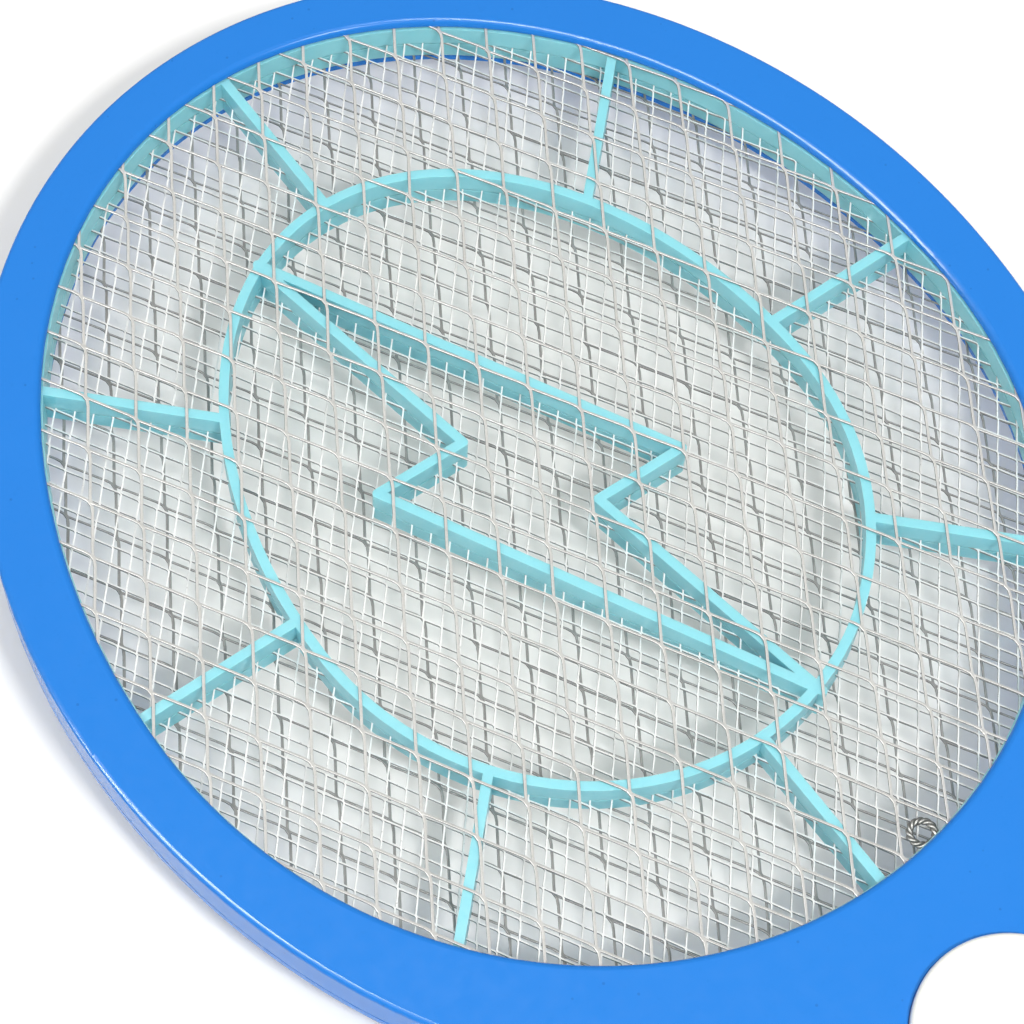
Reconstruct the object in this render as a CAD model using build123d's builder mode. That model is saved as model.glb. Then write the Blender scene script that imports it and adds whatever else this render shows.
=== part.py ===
"""Electric fly swatter: an oval racket head with three electrode meshes, and a battery handle."""

import os
from math import atan2, ceil, cos, degrees, hypot, radians, sin, tan

from build123d import *

os.makedirs("parts", exist_ok=True)

# Overall sizes, mm. +Y points to the head's tip, +Z out of the front face, and z = 0 is the
# flat back of the handle. The origin is under the middle of the whole length.
LENGTH = 470.0
FACE_Z = 24.0
HEAD_THICK = 12.0
SPLIT_DEPTH = 8.8
WALL = 1.8
FACE = 1.4
BACK = 1.25
HEAD_BACK_Z = FACE_Z - HEAD_THICK
SPLIT_Z = FACE_Z - SPLIT_DEPTH

# Gaps: between pieces that rest on each other, and round pieces that plug together. NEAR is the
# tolerance for finding an edge or a corner by its place.
GAP = 0.05
PLAY = 0.1
NEAR = 0.01

# Ovals of the head, each two half ellipses: half width, y of the widest place, y of the ends.
# They are measured from the head's own reference, which stands at HEAD_Y.
OUTER = (95.8, -8.7, 104.7, -127.7)
OPENING = (85.0, -13.2, 95.1, -103.4)
RING = (52.9, -14.5, 61.1, -71.0)
HEAD_Y = LENGTH / 2 - OUTER[2]
END_Y = -LENGTH / 2

# Handle and neck, the rounding of the casing's edges, and the groove along the parting line.
HANDLE_HALF = 22.0
NECK_RADIUS = 40.0
END_RADIUS = 17.0
RAMP_TOP_Y = HEAD_Y - 138.0
RAMP_LENGTH = 28.0
GRIP_ROUND = 4.5
EDGE_ROUND = 0.9
BACK_ROUND = 1.6
LIP_ROUND = 1.2
SEAM = 0.35

# Mesh stack, from the front face down. Each coarse mesh has a tab at the neck for its lead.
COARSE_THICK = 0.5
FINE_THICK = 0.3
FRONT_MESH_Z = FACE_Z - FACE - COARSE_THICK
FRONT_SPIDER_TOP = FRONT_MESH_Z - GAP
INNER_MESH_Z = FACE_Z - 6.6
FRONT_SPIDER_Z = INNER_MESH_Z + FINE_THICK + GAP
REAR_SPIDER_TOP = INNER_MESH_Z - GAP
REAR_MESH_Z = HEAD_BACK_Z + BACK + GAP
REAR_SPIDER_Z = REAR_MESH_Z + COARSE_THICK + GAP
MESH_MARGIN = 3.0
TAB_WIDTH = 5.0
TAB_LONG = 12.0
TAB_Y = HEAD_Y + OPENING[3] - 5.5
FRONT_TAB_X = -13.0
REAR_TAB_X = -6.0

# Expanded metal: diamonds whose long diagonal runs along the handle. CELL_SHIFT is one diamond's
# centre, from the head's reference, and CELL_INSET keeps the centres off the opening's edge.
CELL_X = 10.37
CELL_Y = 18.24
CELL_SHIFT = (-4.31, -1.54)
CELL_INSET = 1.0
STRAND = 0.7

# Spacers: rim, ribs, and the notch where the middle mesh's lead comes in.
RIM_WIDTH = 3.5
RIM_PROUD = 0.3
RIB = 1.8
SPOKES_Y = -7.0
SPOKE_STEP = 45
BOLT_CENTRE = (-2.0, -6.5)
BOLT_HALF = [(-15.7, 63.8), (25.0, -11.9), (6.5, -11.6)]
NOTCH_TALL = 2.6
NOTCH_LONG = 16.0

# Handle panel, button and light.
PANEL_RADIUS = 17.5
PANEL_TOP_Y = HEAD_Y - 137.3
PANEL_END_Y = END_Y + 15.0 + PANEL_RADIUS
PANEL_PROUD = 2.0
PANEL_RECESS = 0.8
PANEL_PAD = 1.2
PANEL_CLEAR = 0.25
PANEL_ROUND = 1.1
PAD_Z = FACE_Z - FACE - PANEL_PAD
PANEL_FLOOR_Z = FACE_Z - PANEL_RECESS
PANEL_Z = FACE_Z + PANEL_PROUD
BUTTON_Y = HEAD_Y - 196.0
BUTTON_RADIUS = 7.0
BUTTON_PROUD = 1.5
BUTTON_CLEAR = 0.3
BUTTON_ROUND = 1.0
BUTTON_DISH = 0.5
BUTTON_TRAVEL = 1.0
FLANGE_RADIUS = BUTTON_RADIUS + 1.8
FLANGE_TALL = 1.2
STEM_RADIUS = 2.2
SLEEVE_INNER = BUTTON_RADIUS + 2.2
SLEEVE_DEEP = 3.4
LED_Y = HEAD_Y - 172.0
LED_RADIUS = 1.5
LED_CLEAR = 0.1
LED_FLANGE = 1.9
LED_FLANGE_TALL = 1.0
LED_Z = PAD_Z - 1.8
LEG_X = 1.27
LEG_SIDE = 0.5

# Circuit board and the switch on it.
BOARD_Z = 9.0
BOARD_THICK = 1.6
BOARD_WIDTH = 28.0
BOARD_TOP_Y = HEAD_Y - 162.0
BOARD_LENGTH = 104.0
BOARD_CORNER = 1.5
BOARD_Y = BOARD_TOP_Y - BOARD_LENGTH / 2
BOARD_TOP = BOARD_Z + BOARD_THICK
POST_X = 11.0
POST_Y = BOARD_LENGTH / 2 - 4.0
POSTS = [(sx * POST_X, BOARD_Y + sy * POST_Y) for sx in (-1, 1) for sy in (-1, 1)]
POST_RADIUS = 2.4
PEG_RADIUS = 1.2
PEG_PROUD = 0.5
SWITCH_SIDE = 6.0
SWITCH_TALL = 3.8
PLUNGER_RADIUS = 1.7
PLUNGER_TALL = 1.4
PLUNGER_HIDDEN = 1.4
PLUNGER_WELL_Z = BOARD_TOP + SWITCH_TALL - PLUNGER_HIDDEN - BUTTON_TRAVEL - 2 * PLAY
STEM_Z = BOARD_TOP + SWITCH_TALL + PLUNGER_TALL

# Transformer: a square winding on the middle leg of a ferrite frame.
CORE_Y = HEAD_Y - 224.0
CORE_Z = BOARD_TOP + 5.0
CORE_LEG = 4.8
CORE_X = 16.0
CORE_WIDE = 17.0
CORE_SIDE = 2.6
CORE_WINDOW = 3.8
CORE_WINDOW_Y = 4.3
BOBBIN_IN = CORE_LEG / 2 + PLAY
BOBBIN_WALL = 0.4
BOBBIN_LONG = 10.4
BOBBIN_FLANGE = 4.8
BOBBIN_CHEEK = 0.8
WINDING_OUT = BOBBIN_FLANGE - 0.5
WINDING_ROUND = 1.2

# Other components on the board: places, sizes along x, y and z, and rounding.
CAPACITOR = (0.0, HEAD_Y - 246.0)
CAPACITOR_SIZE = (20.0, 7.0, 9.5)
CAPACITOR_ROUND = 1.5
TRANSISTOR = (9.5, CORE_Y + 15.0)
TRANSISTOR_SIZE = (5.0, 4.0, 6.0)
TRANSISTOR_ROUND = 1.0
DISCS = [(x, HEAD_Y - 256.0) for x in (-9.0, 0.0, 9.0)]
DISC_RADIUS = 3.6
DISC_THICK = 2.6
DIODES = [(x, HEAD_Y - 237.5) for x in (-9.0, 0.0, 9.0)]
DIODE_RADIUS = 1.3
DIODE_LONG = 5.0
RESISTORS = [(x, HEAD_Y - 182.0) for x in (-8.0, 8.0)]
RESISTOR_RADIUS = 1.1
RESISTOR_LONG = 6.0

# Batteries: two AA cells side by side, in a bay with contact plates at both ends.
CELL_RADIUS = 7.1
CELL_CAN = 49.2
CELL_ROUND = 0.5
CELL_PLACE_X = 7.7
CELL_Z = 10.0
NUB_RADIUS = 2.75
NUB = 1.3
BAY_END_Y = END_Y + 5.0
BAY_TOP_Y = BAY_END_Y + 60.5
BAY_MID_Y = (BAY_END_Y + BAY_TOP_Y) / 2
BAY_WALL = 1.6
BLOCK_IN = 15.3
BLOCK_TALL = 6.0
SEAT_HALF = 12.5
SEAT_Z = 3.2
HOLD_DOWN_Y = 14.0
HOLD_DOWN_GAP = 0.3
PLATE = 0.4
PLATE_Z = 4.0
PLATE_TOP = 16.4
CONTACT_IN = 3.0
CONTACT_OUT = 12.4
SPRING_LONG = BAY_TOP_Y - BAY_END_Y - 2 * PLATE - CELL_CAN - NUB
SPRING_WIRE = 0.4
SPRING_RADIUS = 4.0
SPRING_TURNS = 5

# Battery door: a plate whose edges run in grooves that open at the handle's end.
DOOR_SKIN = 1.4
DOOR_TONGUE = 1.1
DOOR_HALF = 16.6
TONGUE_HALF = 18.2
DOOR_CLEAR = 0.3
DOOR_TOP_Y = BAY_TOP_Y - 3.0
GROOVE_TOP_Z = DOOR_SKIN + DOOR_TONGUE + DOOR_CLEAR
GRIP_FIRST = 8.0
GRIP_STEP = 2.4
GRIP_COUNT = 5
GRIP_LONG = 16.0
GRIP_WIDE = 1.1
GRIP_DEEP = 0.5

# Screws: small self-tapping ones round the head, longer ones in the handle. The cross recesses
# are given as shares of the head's radius.
HEAD_SCREW_ANGLES = [SPOKE_STEP * (k + 0.5) for k in range(360 // SPOKE_STEP)]
NECK_SCREWS = [(-25.0, HEAD_Y - 121.0), (25.0, HEAD_Y - 121.0)]
HANDLE_SCREWS = [(-16.0, BAY_TOP_Y + 20.0), (16.0, BAY_TOP_Y + 20.0)]
BOSS_RADIUS = 2.0
PILOT = 0.9
PILOT_DEEP = 5.5
SHANK = 0.85
SHANK_SHORT = 0.5
HEAD_SCREW_HEAD = 1.7
HEAD_SCREW_DEEP = 0.9
HEAD_SCREW_SEAT = 1.2
COLUMN_RADIUS = 3.6
COLUMN_PILOT = 1.25
COLUMN_SHANK = 1.2
COLUMN_HEAD = 2.6
COLUMN_HEAD_DEEP = 1.8
ACCESS_RADIUS = 2.9
ACCESS_Z = 7.0
SLOT_LONG = 1.3
SLOT_WIDE = 0.3

# Ring terminal on the middle mesh.
TERMINAL_X = 12.3
TERMINAL_Y = HEAD_Y - 99.8
TERMINAL_END_Y = TERMINAL_Y - 8.0
TERMINAL_RING = 2.9
TERMINAL_HOLE = 1.4
TERMINAL_THICK = 0.6
TERMINAL_BARREL = 0.9
TERMINAL_CRIMP = 5.0
BARREL_Z = FRONT_SPIDER_Z + TERMINAL_THICK + TERMINAL_BARREL / 2

# Leads. A bend's radius is LEAD_BEND times its shorter run, over the tangent of half its turn.
LEAD_RADIUS = 0.65
LEAD_BEND = 0.45
LEAD_HIGH_Z = 19.4
LEAD_END_Y = BOARD_Y - BOARD_LENGTH / 2 + 4.7
LEAD_START_Y = BOARD_TOP_Y - 8.3
LEAD_START_X = 8.0
FRONT_KNEE_Y = PANEL_TOP_Y + 9.0
REAR_START = (-4.5, LEAD_START_Y + 3.0)
REAR_KNEE_Y = PANEL_TOP_Y + 7.0


def oval(shape, grow=0.0):
    """An egg-like oval of the head, as a flat face."""
    half_width, wide_y, top_y, low_y = shape
    centre = (0, HEAD_Y + wide_y)
    with BuildSketch(Plane.XY) as face:
        with BuildLine():
            EllipticalCenterArc(centre, half_width + grow, top_y - wide_y + grow, 0, arc_size=180)
            EllipticalCenterArc(centre, half_width + grow, wide_y - low_y + grow, 180, arc_size=180)
        make_face()
    return face.sketch


def oval_point(shape, grow, angle):
    """The point of a grown oval at an angle, in degrees clockwise from the head's tip."""
    half_width, wide_y, top_y, low_y = shape
    turn = radians(angle)
    half_length = top_y - wide_y if cos(turn) > 0 else wide_y - low_y
    return ((half_width + grow) * sin(turn), HEAD_Y + wide_y + (half_length + grow) * cos(turn))


def casing_outline(grow=0.0):
    """The whole racket seen from the front, as a flat face: head, neck and handle."""
    low = END_Y - grow
    half_width = HANDLE_HALF + grow
    with BuildSketch(Plane.XY) as outline:
        add(oval(OUTER, grow))
        with Locations((0, (HEAD_Y + low) / 2)):
            Rectangle(2 * half_width, HEAD_Y - low)
        corners = [v for v in outline.vertices() if abs(abs(v.X) - half_width) < NEAR]
        fillet([v for v in corners if v.Y > low + NEAR], NECK_RADIUS - grow)
        corners = [v for v in outline.vertices() if v.Y < low + NEAR]
        fillet(corners, END_RADIUS + grow)
    return outline.sketch


def stadium(half_width, top_y, low_y, mode=Mode.ADD):
    """A round-ended strip along Y between two arc centres."""
    with Locations((0, (top_y + low_y) / 2)):
        SlotCenterToCenter(top_y - low_y, 2 * half_width, rotation=90, mode=mode)


def boss_points():
    """Places of the small screws: the channel between wall and spacers, and the neck."""
    inner = [oval_point(OPENING, RIM_WIDTH, a) for a in HEAD_SCREW_ANGLES]
    outer = [oval_point(OUTER, -WALL, a) for a in HEAD_SCREW_ANGLES]
    return [((a[0] + b[0]) / 2, (a[1] + b[1]) / 2) for a, b in zip(inner, outer)] + NECK_SCREWS


def handle_block(inset=0.0):
    """The deep part of the handle below the split, with a ramp up to the head's back."""
    half_width = HANDLE_HALF - inset
    low = END_Y + inset
    ramp_low = RAMP_TOP_Y - RAMP_LENGTH
    with BuildPart() as block:
        with BuildSketch(Plane.XY.offset(inset)):
            with Locations((0, (RAMP_TOP_Y + low) / 2)):
                tail = Rectangle(2 * half_width, RAMP_TOP_Y - low)
            fillet(tail.vertices().sort_by(Axis.Y)[:2], END_RADIUS - inset)
        extrude(amount=SPLIT_Z - inset)
        with BuildSketch(Plane.YZ):
            Polygon(
                (low, inset),
                (ramp_low, inset),
                (RAMP_TOP_Y - inset, HEAD_BACK_Z + inset),
                (RAMP_TOP_Y - inset, SPLIT_Z),
                (low, SPLIT_Z),
                align=None,
            )
        extrude(amount=half_width, both=True, mode=Mode.INTERSECT)
        bottom = block.faces().sort_by(Axis.Z)[0]
        fillet([e for e in bottom.edges() if e.center().Y < ramp_low - NEAR], GRIP_ROUND - inset)
    return block.part


def spread(points, radius):
    """Circles of one radius at several points of the open sketch."""
    with Locations(*points):
        Circle(radius)


def front_casing():
    """The front half's skin: head, neck and handle, with a shallow recess for the panel."""
    with BuildPart() as casing:
        with BuildSketch(Plane.XY.offset(SPLIT_Z)):
            add(casing_outline())
        extrude(amount=SPLIT_DEPTH)
        fillet(casing.faces().sort_by(Axis.Z)[-1].edges(), EDGE_ROUND)
        chamfer(casing.faces().sort_by(Axis.Z)[0].edges(), SEAM)
        with BuildSketch(Plane.XY.offset(SPLIT_Z)):
            add(casing_outline(-WALL))
        extrude(amount=SPLIT_DEPTH - FACE, mode=Mode.SUBTRACT)
        # The roof is thicker under the panel.
        with BuildSketch(Plane.XY.offset(PAD_Z)):
            stadium(PANEL_RADIUS + WALL, PANEL_TOP_Y, PANEL_END_Y)
        extrude(amount=PANEL_PAD)
        with BuildSketch(Plane.XY.offset(PANEL_FLOOR_Z)):
            stadium(PANEL_RADIUS + PANEL_CLEAR, PANEL_TOP_Y, PANEL_END_Y)
        extrude(amount=PANEL_RECESS, mode=Mode.SUBTRACT)
    return casing.part


def front_shell():
    casing = front_casing()
    with BuildPart() as shell:
        add(casing)
        # Screw bosses.
        with BuildSketch(Plane.XY.offset(SPLIT_Z)):
            spread(boss_points(), BOSS_RADIUS)
            spread(HANDLE_SCREWS, COLUMN_RADIUS)
        extrude(amount=SPLIT_DEPTH - FACE)
        with BuildSketch(Plane.XY.offset(SPLIT_Z)):
            spread(boss_points(), PILOT)
            spread(HANDLE_SCREWS, COLUMN_PILOT)
        extrude(amount=PILOT_DEEP, mode=Mode.SUBTRACT)
        # Sleeve that guides the button, and ribs that keep the cells down.
        with BuildSketch(Plane.XY.offset(PAD_Z)):
            with Locations((0, BUTTON_Y)):
                Circle(SLEEVE_INNER + WALL)
                Circle(SLEEVE_INNER, mode=Mode.SUBTRACT)
        extrude(amount=-SLEEVE_DEEP)
        with BuildSketch(Plane.XY.offset(PAD_Z)):
            with Locations(*[(0, BAY_MID_Y + side * HOLD_DOWN_Y) for side in (-1, 1)]):
                Rectangle(4 * CELL_RADIUS, BAY_WALL)
        extrude(amount=-(PAD_Z - CELL_Z - CELL_RADIUS - HOLD_DOWN_GAP))
        # Holes for the button and the light, and the head's opening with its rounded lip.
        with BuildSketch(Plane.XY.offset(PAD_Z)):
            spread([(0, BUTTON_Y)], BUTTON_RADIUS + BUTTON_CLEAR)
            spread([(0, LED_Y)], LED_RADIUS + LED_CLEAR)
        extrude(amount=SPLIT_DEPTH, mode=Mode.SUBTRACT)
        with BuildSketch(Plane.XY.offset(SPLIT_Z)):
            add(oval(OPENING))
        extrude(amount=SPLIT_DEPTH, mode=Mode.SUBTRACT)
        rims = shell.faces().sort_by(Axis.Z)[-1].inner_wires()
        fillet(rims.sort_by(SortBy.LENGTH)[-1].edges(), LIP_ROUND)
    return shell.part


def rear_casing():
    """The back half's skin: the head's back, the ramp and the deep handle."""
    form, hollow = handle_block(), handle_block(WALL)
    with BuildPart() as casing:
        with BuildSketch(Plane.XY.offset(HEAD_BACK_Z)):
            add(casing_outline())
        extrude(amount=SPLIT_Z - HEAD_BACK_Z)
        fillet(casing.faces().sort_by(Axis.Z)[0].edges(), BACK_ROUND)
        add(form)
        with BuildSketch(Plane.XY.offset(HEAD_BACK_Z + BACK)):
            add(casing_outline(-WALL))
        extrude(amount=SPLIT_Z - HEAD_BACK_Z, mode=Mode.SUBTRACT)
        add(hollow, mode=Mode.SUBTRACT)
    return casing.part


def bay_walls():
    """The battery bay: a wall across, side blocks that carry the door, and the contact seat."""
    with BuildPart() as walls:
        with BuildSketch(Plane.XY.offset(WALL / 2)):
            with Locations((0, BAY_TOP_Y + BAY_WALL / 2)):
                Rectangle(2 * (HANDLE_HALF - WALL / 2), BAY_WALL)
        extrude(amount=SPLIT_Z - WALL / 2)
        with BuildSketch(Plane.XY.offset(WALL / 2)):
            with Locations(*[(side * (BLOCK_IN + HANDLE_HALF) / 2, BAY_MID_Y) for side in (-1, 1)]):
                Rectangle(HANDLE_HALF - BLOCK_IN, BAY_TOP_Y - END_Y + BAY_WALL)
            add(casing_outline(-WALL / 2), mode=Mode.INTERSECT)
        extrude(amount=BLOCK_TALL - WALL / 2)
        with BuildSketch(Plane.XY.offset(SEAT_Z)):
            with Locations((0, (END_Y + BAY_END_Y) / 2)):
                Rectangle(2 * SEAT_HALF, BAY_END_Y - END_Y)
            add(casing_outline(-WALL / 2), mode=Mode.INTERSECT)
        extrude(amount=SPLIT_Z - SEAT_Z)
    return walls.part


def door_way():
    """The room of the battery door and its tongues, open at the handle's end and into the bay."""
    length = DOOR_TOP_Y + DOOR_CLEAR - END_Y
    middle = (0, END_Y + length / 2)
    with BuildPart() as way:
        with BuildSketch(Plane.XY):
            with Locations(middle):
                Rectangle(2 * (DOOR_HALF + DOOR_CLEAR), length)
        extrude(amount=GROOVE_TOP_Z)
        with BuildSketch(Plane.XY.offset(DOOR_SKIN - DOOR_CLEAR)):
            with Locations(middle):
                Rectangle(2 * (TONGUE_HALF + DOOR_CLEAR), length)
        extrude(amount=GROOVE_TOP_Z - DOOR_SKIN + DOOR_CLEAR)
        with BuildSketch(Plane.XY.offset(WALL / 2)):
            with Locations((0, BAY_MID_Y)):
                Rectangle(2 * BLOCK_IN, BAY_TOP_Y - BAY_END_Y)
        extrude(amount=BLOCK_TALL)
    return way.part


def rear_shell():
    casing, walls, way = rear_casing(), bay_walls(), door_way()
    with BuildPart() as shell:
        add(casing)
        # Bosses for the head screws, columns for the handle screws.
        with BuildSketch(Plane.XY.offset(HEAD_BACK_Z)):
            spread(boss_points(), BOSS_RADIUS)
        extrude(amount=SPLIT_Z - HEAD_BACK_Z)
        with BuildSketch(Plane.XY.offset(HEAD_BACK_Z)):
            spread(boss_points(), HEAD_SCREW_HEAD + PLAY)
        extrude(amount=HEAD_SCREW_SEAT, mode=Mode.SUBTRACT)
        with BuildSketch(Plane.XY.offset(HEAD_BACK_Z)):
            spread(boss_points(), SHANK + PLAY)
        extrude(amount=SPLIT_DEPTH, mode=Mode.SUBTRACT)
        with BuildSketch(Plane.XY.offset(WALL / 2)):
            spread(HANDLE_SCREWS, COLUMN_RADIUS)
        extrude(amount=SPLIT_Z - WALL / 2)
        with BuildSketch(Plane.XY):
            spread(HANDLE_SCREWS, ACCESS_RADIUS)
        extrude(amount=ACCESS_Z, mode=Mode.SUBTRACT)
        with BuildSketch(Plane.XY):
            spread(HANDLE_SCREWS, COLUMN_SHANK + PLAY)
        extrude(amount=SPLIT_Z, mode=Mode.SUBTRACT)
        # Board posts with locating pegs.
        with BuildSketch(Plane.XY.offset(WALL / 2)):
            spread(POSTS, POST_RADIUS)
        extrude(amount=BOARD_Z - WALL / 2)
        with BuildSketch(Plane.XY.offset(WALL)):
            spread(POSTS, PEG_RADIUS)
        extrude(amount=BOARD_TOP + PEG_PROUD - WALL)
        # Battery bay and the door's way, and the head's opening.
        add(walls)
        add(way, mode=Mode.SUBTRACT)
        with BuildSketch(Plane.XY.offset(HEAD_BACK_Z)):
            add(oval(OPENING))
        extrude(amount=SPLIT_Z - HEAD_BACK_Z, mode=Mode.SUBTRACT)
    return shell.part


def cross_slots(points, head_radius):
    """Cross recesses in screw heads, drawn in the open sketch."""
    with Locations(*points):
        Rectangle(SLOT_LONG * head_radius, SLOT_WIDE * head_radius)
        Rectangle(SLOT_WIDE * head_radius, SLOT_LONG * head_radius)


def screws(points, seat, head_radius, head_tall, shank):
    """Pan-head screws put in from the back, each with a cross recess; seat is the head's upper side."""
    with BuildPart() as group:
        with BuildSketch(Plane.XY.offset(seat - head_tall)):
            spread(points, head_radius)
        extrude(amount=head_tall)
        with BuildSketch(Plane.XY.offset(seat)):
            spread(points, shank)
        extrude(amount=SPLIT_Z + PILOT_DEEP - SHANK_SHORT - seat)
        with BuildSketch(Plane.XY.offset(seat - head_tall)):
            cross_slots(points, head_radius)
        extrude(amount=head_tall / 2, mode=Mode.SUBTRACT)
    return group.part


def casing_screws():
    """Ten small screws: eight round the head and two at the neck."""
    return screws(boss_points(), HEAD_BACK_Z + HEAD_SCREW_SEAT, HEAD_SCREW_HEAD, HEAD_SCREW_DEEP, SHANK)


def handle_screws():
    """Two longer screws at the bottom of the columns in the handle."""
    return screws(HANDLE_SCREWS, ACCESS_Z, COLUMN_HEAD, COLUMN_HEAD_DEEP, COLUMN_SHANK)


def bolt_bars():
    """Ends of the six bars of the zigzag bolt, which looks the same turned half round."""
    corners = BOLT_HALF + [(-x, -y) for x, y in BOLT_HALF]
    places = [Vector(BOLT_CENTRE[0] + x, HEAD_Y + BOLT_CENTRE[1] + y) for x, y in corners]
    return zip(places, places[1:] + places[:1])


def spacer_sketch():
    """Rim, spokes, oval ring and zigzag bolt of a spacer, as a flat face."""
    with BuildSketch(Plane.XY) as spokes:
        with Locations((0, HEAD_Y + SPOKES_Y)):
            for turn in range(0, 180, SPOKE_STEP):
                Rectangle(RIB, LENGTH, rotation=turn)
        add(oval(OPENING, RIM_WIDTH / 2), mode=Mode.INTERSECT)
        add(oval(RING), mode=Mode.SUBTRACT)
    with BuildSketch(Plane.XY) as ring:
        add(oval(RING, RIB / 2))
        add(oval(RING, -RIB / 2), mode=Mode.SUBTRACT)
    with BuildSketch(Plane.XY) as face:
        add(oval(OPENING, RIM_WIDTH))
        add(oval(OPENING, -RIM_PROUD), mode=Mode.SUBTRACT)
        add(spokes.sketch)
        add(ring.sketch)
        for start, end in bolt_bars():
            bar = end - start
            with Locations((start + end) / 2):
                SlotCenterToCenter(bar.length, RIB, rotation=degrees(atan2(bar.Y, bar.X)))
    return face.sketch


def spacer(low_z, high_z):
    with BuildPart() as frame:
        with BuildSketch(Plane.XY.offset(low_z)):
            add(spacer_sketch())
        extrude(amount=high_z - low_z)
    return frame.part


def front_spider():
    """The front spacer, with a notch in its rim where the middle mesh's lead comes in."""
    whole = spacer(FRONT_SPIDER_Z, FRONT_SPIDER_TOP)
    with BuildPart() as frame:
        add(whole)
        with BuildSketch(Plane.XY.offset(FRONT_SPIDER_Z)):
            with Locations((TERMINAL_X, TERMINAL_Y - NOTCH_LONG / 2)):
                Rectangle(2 * TERMINAL_RING + 2 * DOOR_CLEAR, NOTCH_LONG)
        extrude(amount=NOTCH_TALL, mode=Mode.SUBTRACT)
    return frame.part


def mesh_cells():
    """Centres of the diamonds in the opening, in staggered rows."""
    half_width, wide_y, top_y, low_y = OPENING
    columns = ceil(half_width / CELL_X)
    rows = ceil(2 * top_y / CELL_Y) + 1
    cells = []
    for row in range(-rows, rows + 1):
        for column in range(-columns, columns + 1):
            x = (column + (row % 2) / 2) * CELL_X + CELL_SHIFT[0]
            y = row * CELL_Y / 2 + CELL_SHIFT[1]
            half_length = top_y - wide_y if y > wide_y else wide_y - low_y
            if hypot(x / (half_width - CELL_INSET), (y - wide_y) / (half_length - CELL_INSET)) < 1:
                cells.append((x, HEAD_Y + y))
    return cells


def diamonds():
    """The openings of the expanded metal, as flat faces."""
    half_x, half_y = CELL_X / 2, CELL_Y / 2
    with BuildSketch(Plane.XY) as hole:
        Polygon((half_x, 0), (0, half_y), (-half_x, 0), (0, -half_y), align=None)
        offset(amount=-STRAND / 2, kind=Kind.INTERSECTION)
    with BuildSketch(Plane.XY) as holes:
        with Locations(*mesh_cells()):
            add(hole.sketch)
    return holes.sketch


def coarse_mesh(holes, low_z, tab_x):
    """Expanded metal sheet with a tab at the neck for its lead."""
    with BuildPart() as mesh:
        with BuildSketch(Plane.XY.offset(low_z)):
            add(oval(OPENING, MESH_MARGIN))
            with Locations((tab_x, HEAD_Y + OPENING[3] - MESH_MARGIN)):
                Rectangle(TAB_WIDTH, TAB_LONG)
            add(holes, mode=Mode.SUBTRACT)
        extrude(amount=COARSE_THICK)
    return mesh.part


def inner_mesh():
    """The middle electrode, kept as a plain sheet."""
    with BuildPart() as mesh:
        with BuildSketch(Plane.XY.offset(INNER_MESH_Z)):
            add(oval(OPENING, MESH_MARGIN))
        extrude(amount=FINE_THICK)
    return mesh.part


def handle_panel():
    """The raised inlay on the front of the handle."""
    with BuildPart() as panel:
        with BuildSketch(Plane.XY.offset(PANEL_FLOOR_Z)):
            stadium(PANEL_RADIUS, PANEL_TOP_Y, PANEL_END_Y)
        extrude(amount=PANEL_RECESS + PANEL_PROUD)
        fillet(panel.faces().sort_by(Axis.Z)[-1].edges(), PANEL_ROUND)
        with BuildSketch(Plane.XY.offset(PANEL_FLOOR_Z)):
            spread([(0, BUTTON_Y)], BUTTON_RADIUS + BUTTON_CLEAR)
            spread([(0, LED_Y)], LED_RADIUS + LED_CLEAR)
        extrude(amount=PANEL_RECESS + PANEL_PROUD, mode=Mode.SUBTRACT)
    return panel.part


def push_button():
    """Cap with a dished top, a flange that holds it in, and a stem down to the switch."""
    flange_top = PAD_Z - 2 * PLAY
    top = PANEL_Z + BUTTON_PROUD
    edge = (BUTTON_RADIUS - BUTTON_ROUND, top)
    with BuildPart() as button:
        with BuildSketch(Plane((0, BUTTON_Y, 0), x_dir=(1, 0, 0), z_dir=(0, -1, 0))):
            with BuildLine():
                TangentArc((0, top - BUTTON_DISH), edge, tangent=(1, 0))
                TangentArc(edge, (BUTTON_RADIUS, top - BUTTON_ROUND), tangent=(1, 0))
                Polyline(
                    (BUTTON_RADIUS, top - BUTTON_ROUND),
                    (BUTTON_RADIUS, flange_top),
                    (FLANGE_RADIUS, flange_top),
                    (FLANGE_RADIUS, flange_top - FLANGE_TALL),
                    (STEM_RADIUS, flange_top - FLANGE_TALL),
                    (STEM_RADIUS, STEM_Z),
                    (0, STEM_Z),
                    (0, top - BUTTON_DISH),
                )
            make_face()
        revolve(axis=Axis((0, BUTTON_Y, 0), (0, 0, 1)))
    return button.part


def stack(x, y, *levels):
    """Round pieces one above another: each level is (radius, low z, high z)."""
    with BuildPart() as pile:
        for radius, low, high in levels:
            with BuildSketch(Plane.XY.offset(low)):
                spread([(x, y)], radius)
            extrude(amount=high - low)
    return pile.part


def switch_plunger():
    return stack(0, BUTTON_Y, (PLUNGER_RADIUS, STEM_Z - PLUNGER_TALL - PLUNGER_HIDDEN, STEM_Z - GAP))


def switch_body():
    with BuildPart() as body:
        with BuildSketch(Plane.XY.offset(BOARD_TOP)):
            with Locations((0, BUTTON_Y)):
                Rectangle(SWITCH_SIDE, SWITCH_SIDE)
        extrude(amount=SWITCH_TALL)
        with BuildSketch(Plane.XY.offset(PLUNGER_WELL_Z)):
            spread([(0, BUTTON_Y)], PLUNGER_RADIUS + PLAY)
        extrude(amount=SWITCH_TALL, mode=Mode.SUBTRACT)
    return body.part


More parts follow.
